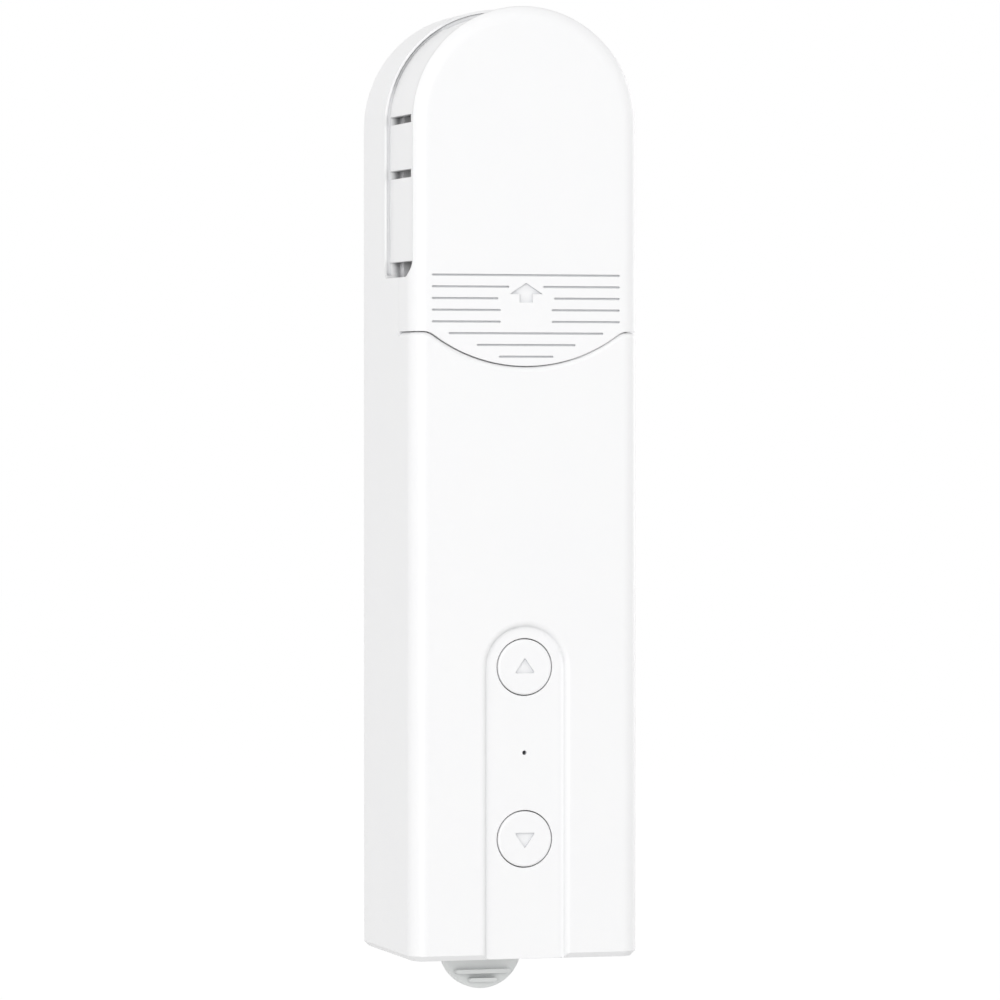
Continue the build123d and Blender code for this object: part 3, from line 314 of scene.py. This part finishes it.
# The housing is shown with two softer forms than its solid has: the groove behind the cover's
# inner wall is only a faint line on the real part, and the button channel runs out into its
# floor in a hollow curve. Nothing else of the housing changes.

shellLook = {
    "body": "driver",
    "near": 0.000005,          # how far a point may lie from the place that it is found by
    "mergeWithin": 1e-7,       # triangle corners this close are one point
    "wallY": -0.0154,          # the wall that the groove is sunk in
    "grooveY": -0.0142,        # the groove's floor in the solid
    "grooveDeep": 0.0003,      # and how deep it is shown
    "rounding": 0.0011,        # the channel's edge in the solid: its round, reach and depth
    "outer": 0.00855,
    "floorDeep": 0.0012,
    "turnOver": 74.0,          # the angle of the round at which the hollow curve starts
    "hollowFoot": 0.0067,      # the reach at which it ends in the floor
    "curveShare": 0.8,         # the share of the curve that the rest of the round is drawn out to
    "footChamfer": 0.00095,    # on the housing's lower edge
    "chamfersKept": 4,         # corners less than so many chamfers up keep their normals
}


def moveGroove(points, look):
    # points whose y is the groove floor's get the wall's y plus the new depth
    onFloor = np.abs(points[:, 1] - look["grooveY"]) < look["near"]
    points[onFloor, 1] = look["wallY"] + look["grooveDeep"]
    return int(onFloor.sum())


def softenChannel(points, corners, triangles, look):
    # reach is the distance from the channel's middle line, and above the upper button from its
    # centre. The edge is a quarter round: depth = r (1 - cos a), reach = outer - r sin a. Past the
    # angle turnOver it goes on as a quadratic curve that ends level in the floor at hollowFoot:
    # (1 - u)^2 p0 + 2 u (1 - u) p1 + u^2 p2, where p1 is the crossing of the two end tangents.
    lowest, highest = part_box("up_button")
    arcHeight = (lowest.z + highest.z) / 2
    front, under = (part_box("main_housing")[0][axis] for axis in (1, 2))
    near, r, floorDeep = look["near"], look["rounding"], look["floorDeep"]
    depth = points[:, 1] - front
    above = np.maximum(points[:, 2] - arcHeight, 0.0)
    reach = np.maximum(np.hypot(points[:, 0], above), near)
    height = points[:, 2].copy()
    inBand = (depth > -near) & (depth < floorDeep + near) & (reach > look["outer"] - r - near)
    inBand &= reach < look["outer"] + near

    # the round's points share out the curve up to curveShare, and its foot is at the curve's end
    angle = np.arccos(np.clip(1 - depth / r, -1.0, 1.0))
    angle[depth > r] = np.pi / 2
    turnOver = math.radians(look["turnOver"])
    u = look["curveShare"] * (angle - turnOver) / (np.pi / 2 - turnOver)
    u[depth > r + near] = 1.0
    hollow = inBand & (u > 0)
    p0 = (look["outer"] - r * math.sin(turnOver), r * (1 - math.cos(turnOver)))
    p1 = (p0[0] - (floorDeep - p0[1]) / math.tan(turnOver), floorDeep)
    p2 = (look["hollowFoot"], floorDeep)
    newReach, newDepth = ((1 - u) ** 2 * p0[k] + 2 * u * (1 - u) * p1[k] + u ** 2 * p2[k] for k in (0, 1))
    slope = np.arctan2((1 - u) * (p1[1] - p0[1]), (1 - u) * (p0[0] - p1[0]) + u * (p1[0] - p2[0]))
    slope = np.where(hollow, slope, angle)

    # outward from the middle line, and the normal of the slope: cos * forward - sin * outward
    outward = np.stack([points[:, 0] / reach, 0 * reach, above / reach], axis=1)
    normals = np.cos(slope)[:, None] * np.array([0.0, -1.0, 0.0]) - np.sin(slope)[:, None] * outward
    inEdge = inBand[triangles].all(axis=1) & (np.ptp(depth[triangles], axis=1) > near)
    inEdge &= height[triangles].max(axis=1) > under + look["chamfersKept"] * look["footChamfer"]
    corners.reshape(-1, 3, 3)[inEdge] = normals[triangles[inEdge]]

    # points on the chamfer of the lower edge stay on its slope
    onChamfer = hollow & (np.abs(depth + height - under - look["footChamfer"]) < near)
    share = newReach / reach
    points[hollow, 0] *= share[hollow]
    points[hollow, 1] = front + newDepth[hollow]
    arched = hollow & (above > 0)
    points[arched, 2] = arcHeight + (above * share)[arched]
    points[onChamfer, 2] = np.maximum(under, under + look["footChamfer"] - newDepth[onChamfer])
    return int(hollow.sum())


def softerShell(node, name, look):
    # after the points are moved the triangles are joined, and each corner gets its normal back
    mesh = node.data.copy()
    mesh.name = name
    corners = np.empty(len(mesh.loops) * 3, dtype=np.float32)
    mesh.corner_normals.foreach_get("vector", corners)
    points = np.empty(len(mesh.vertices) * 3, dtype=np.float32)
    mesh.vertices.foreach_get("co", points)
    triangles = np.empty(len(mesh.loops), dtype=np.int32)
    mesh.loops.foreach_get("vertex_index", triangles)
    points, corners = points.reshape(-1, 3), corners.reshape(-1, 3)
    moved = moveGroove(points, look), softenChannel(points, corners, triangles.reshape(-1, 3), look)
    mesh.vertices.foreach_set("co", points.ravel())
    shell = bmesh.new()
    shell.from_mesh(mesh)
    bmesh.ops.remove_doubles(shell, verts=shell.verts, dist=look["mergeWithin"])
    shell.to_mesh(mesh)
    shell.free()
    mesh.normals_split_custom_set(corners)
    mesh.update()
    print("housing points moved, groove and channel:", *moved)
    return mesh


shellMesh = softerShell(frame["nodes"]["main_housing"], "main_shell", shellLook)
housing = newObject("main_shell", shellMesh)
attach(housing, shellLook["body"])
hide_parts("main_housing")


# The latch's coil spring, which gives way when the tab is pressed, is drawn as a helix of wire

coil = {
    "turns": 2.5, "wire": 0.0002,    # the wire's radius
    "stepsPerTurn": 36, "sides": 10, "body": "base", "joint": "latch_press",
}


def coilSurface(centre, radius, start, length, look):
    # a helix along Y: (x, z) goes round the circle while y grows evenly; at each point stands a
    # ring of the wire's radius, spanned by the outward direction and by tangent x outward
    turns = look["turns"]
    along = np.linspace(0.0, 1.0, int(turns * look["stepsPerTurn"]) + 1)[:, None, None]
    ring = np.linspace(0.0, 2 * np.pi, look["sides"], endpoint=False)[None, :, None]
    turn = 2 * np.pi * turns * along
    outward = np.concatenate([np.cos(turn), 0 * turn, np.sin(turn)], axis=2)
    rise = 0 * turn + length / (2 * np.pi * turns * radius)
    tangent = np.concatenate([-np.sin(turn), rise, np.cos(turn)], axis=2)
    tangent /= np.linalg.norm(tangent, axis=2, keepdims=True)
    binormal = np.cross(tangent, outward)
    foot = np.array([centre[0], start, centre[1]])
    line = foot + radius * outward + length * along * np.array([0.0, 1.0, 0.0])
    return line + look["wire"] * (np.cos(ring) * outward + np.sin(ring) * binormal)


def closedTube(name, grid):
    # quads between neighbouring rings, and one flat end on the first ring and on the last
    rings, sides = grid.shape[:2]
    i, j = np.meshgrid(np.arange(rings - 1), np.arange(sides), indexing="ij")
    nextI, nextJ = i + 1, (j + 1) % sides
    quads = np.stack([i * sides + j, i * sides + nextJ, nextI * sides + nextJ, nextI * sides + j], axis=2)
    faces = quads.reshape(-1, 4).tolist()
    faces += [list(range(sides))[::-1], list(range((rings - 1) * sides, rings * sides))]
    mesh = bpy.data.meshes.new(name)
    mesh.from_pydata(grid.reshape(-1, 3).tolist(), [], faces)
    mesh.polygons.foreach_set("use_smooth", [len(face) == 4 for face in faces])
    mesh.update()
    return mesh


low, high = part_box("latch_spring")
middle = ((low.x + high.x) / 2, (low.z + high.z) / 2)
coilRadius = (high.x - low.x) / 2 - coil["wire"]
coilLength = high.y - low.y - 2 * coil["wire"]
springGrid = coilSurface(middle, coilRadius, low.y + coil["wire"], coilLength, coil)
springMesh = closedTube("latch_coil", springGrid)
springMesh.materials.append(finishes["steel"])
spring = newObject("latch_coil", springMesh)
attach(spring, coil["body"])
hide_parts("latch_spring")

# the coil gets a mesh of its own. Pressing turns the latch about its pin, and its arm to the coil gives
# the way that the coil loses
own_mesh(spring)


# Studio: a pale floor below the part, a white world that is brightest at the horizon, a large
# soft lamp at the front left and a weaker one behind the part at the right

studio = {
    "floorDrop": 0.12, "floorHalf": 6.0, "floorColour": "#DCDCDC",
    "floorGlow": 1.16, "floorShadow": 0.25,
    "horizonLight": 1.03, "poleLoss": 0.61,    # towards straight up and straight down it gets dimmer
    "lamps": (
        # name, place, aim, size in metres, watts
        ("keyLamp", (-0.9, -1.78, 0.4), (0.0, 0.0, 0.03), 1.1, 13.0),
        ("rightFillLamp", (1.7, 0.9, 0.3), (0.0, 0.0, 0.03), 1.0, 6.0),
    ),
}
plainWhite = (1.0, 1.0, 1.0, 1.0)

lowest = cadBox[0][2] - studio["floorDrop"]
half = studio["floorHalf"]
sheetCorners = [(x, y, lowest) for x, y in ((-half, -half), (half, -half), (half, half), (-half, half))]
floorMesh = bpy.data.meshes.new("floor")
floorMesh.from_pydata(sheetCorners, [], [(0, 1, 2, 3)])
floor = newObject("floor", floorMesh)


def seenAsBackground(tree):
    # 1 where the camera, a mirror or glass looks at the background, 0 where it only lights
    path = addNode(tree, "ShaderNodeLightPath")
    either = calculate(tree, "MAXIMUM", path.outputs["Is Camera Ray"], path.outputs["Is Glossy Ray"])
    return calculate(tree, "MAXIMUM", either, path.outputs["Is Transmission Ray"])


# the floor reads as white: a share of plain paper keeps the part's soft shadow, and the glow is a
# little over 1 because that paper is dimmer than white
floorPaint, tree = newMaterial("paperBackdrop")
paper = addNode(tree, "ShaderNodeBsdfDiffuse", {"Color": toLinear(studio["floorColour"])})
glow = addNode(tree, "ShaderNodeEmission", {"Color": plainWhite, "Strength": studio["floorGlow"]})
share = calculate(tree, "MULTIPLY", seenAsBackground(tree), 1.0 - studio["floorShadow"])
sheet = mixShaders(tree, share, paper, glow)
side = addNode(tree, "ShaderNodeNewGeometry")    # from below it is clear, so that the underside shows
clear = addNode(tree, "ShaderNodeBsdfTransparent")
finishSurface(tree, mixShaders(tree, side.outputs["Backfacing"], sheet, clear))
floorMesh.materials.append(floorPaint)

# the world's light falls off with the square of the sine of the height above or below the horizon
world = bpy.data.worlds.new("studioWorld")
bpy.context.scene.world = world
world.use_nodes = True
tree = world.node_tree
tree.nodes.clear()
direction = addNode(tree, "ShaderNodeTexCoord")
axes = addNode(tree, "ShaderNodeSeparateXYZ", {0: direction.outputs["Generated"]})
steep = calculate(tree, "MULTIPLY", axes.outputs["Z"], axes.outputs["Z"])
level = calculate(tree, "MULTIPLY_ADD", steep, -studio["poleLoss"], studio["horizonLight"])
lit = addNode(tree, "ShaderNodeBackground", {"Color": plainWhite, "Strength": level})
white = addNode(tree, "ShaderNodeBackground", {"Color": plainWhite, "Strength": 1.0})
both = mixShaders(tree, seenAsBackground(tree), lit, white)
addNode(tree, "ShaderNodeOutputWorld", {"Surface": both.outputs[0]})

for name, place, aim, size, watts in studio["lamps"]:
    lamp = bpy.data.lights.new(name, "AREA")
    lamp.shape, lamp.size, lamp.energy = "DISK", size, watts
    holder = newObject(name, lamp)
    holder.location = place
    holder.rotation_euler = (Vector(aim) - Vector(place)).to_track_quat("-Z", "Y").to_euler()
print("studio ready")


# Camera: a long lens from the left, turned in degrees and tipped down by the little that puts the
# horizon above the picture's middle. Its distance to the picture is counted in pixels.

photoView = {
    "turn": 16.08, "place": (-0.2899, -1.0226, 0.05265),
    "pixels": 5654.0, "width": 1000, "middleRow": 500.0, "horizonRow": 413.0,
    "sensorMm": 36.0, "nearest": 0.01, "farthest": 50.0,
}
camera = bpy.data.cameras.new("photoCamera")
camera.sensor_width = photoView["sensorMm"]
camera.lens = photoView["pixels"] * photoView["sensorMm"] / photoView["width"]
camera.clip_start, camera.clip_end = photoView["nearest"], photoView["farthest"]
holder = newObject("photoCamera", camera)
holder.location = photoView["place"]
tip = math.atan((photoView["middleRow"] - photoView["horizonRow"]) / photoView["pixels"])
holder.rotation_euler = (math.radians(90) - tip, 0.0, math.radians(-photoView["turn"]))
bpy.context.scene.camera = holder
bpy.context.scene.view_settings.view_transform = "Standard"

print("done")
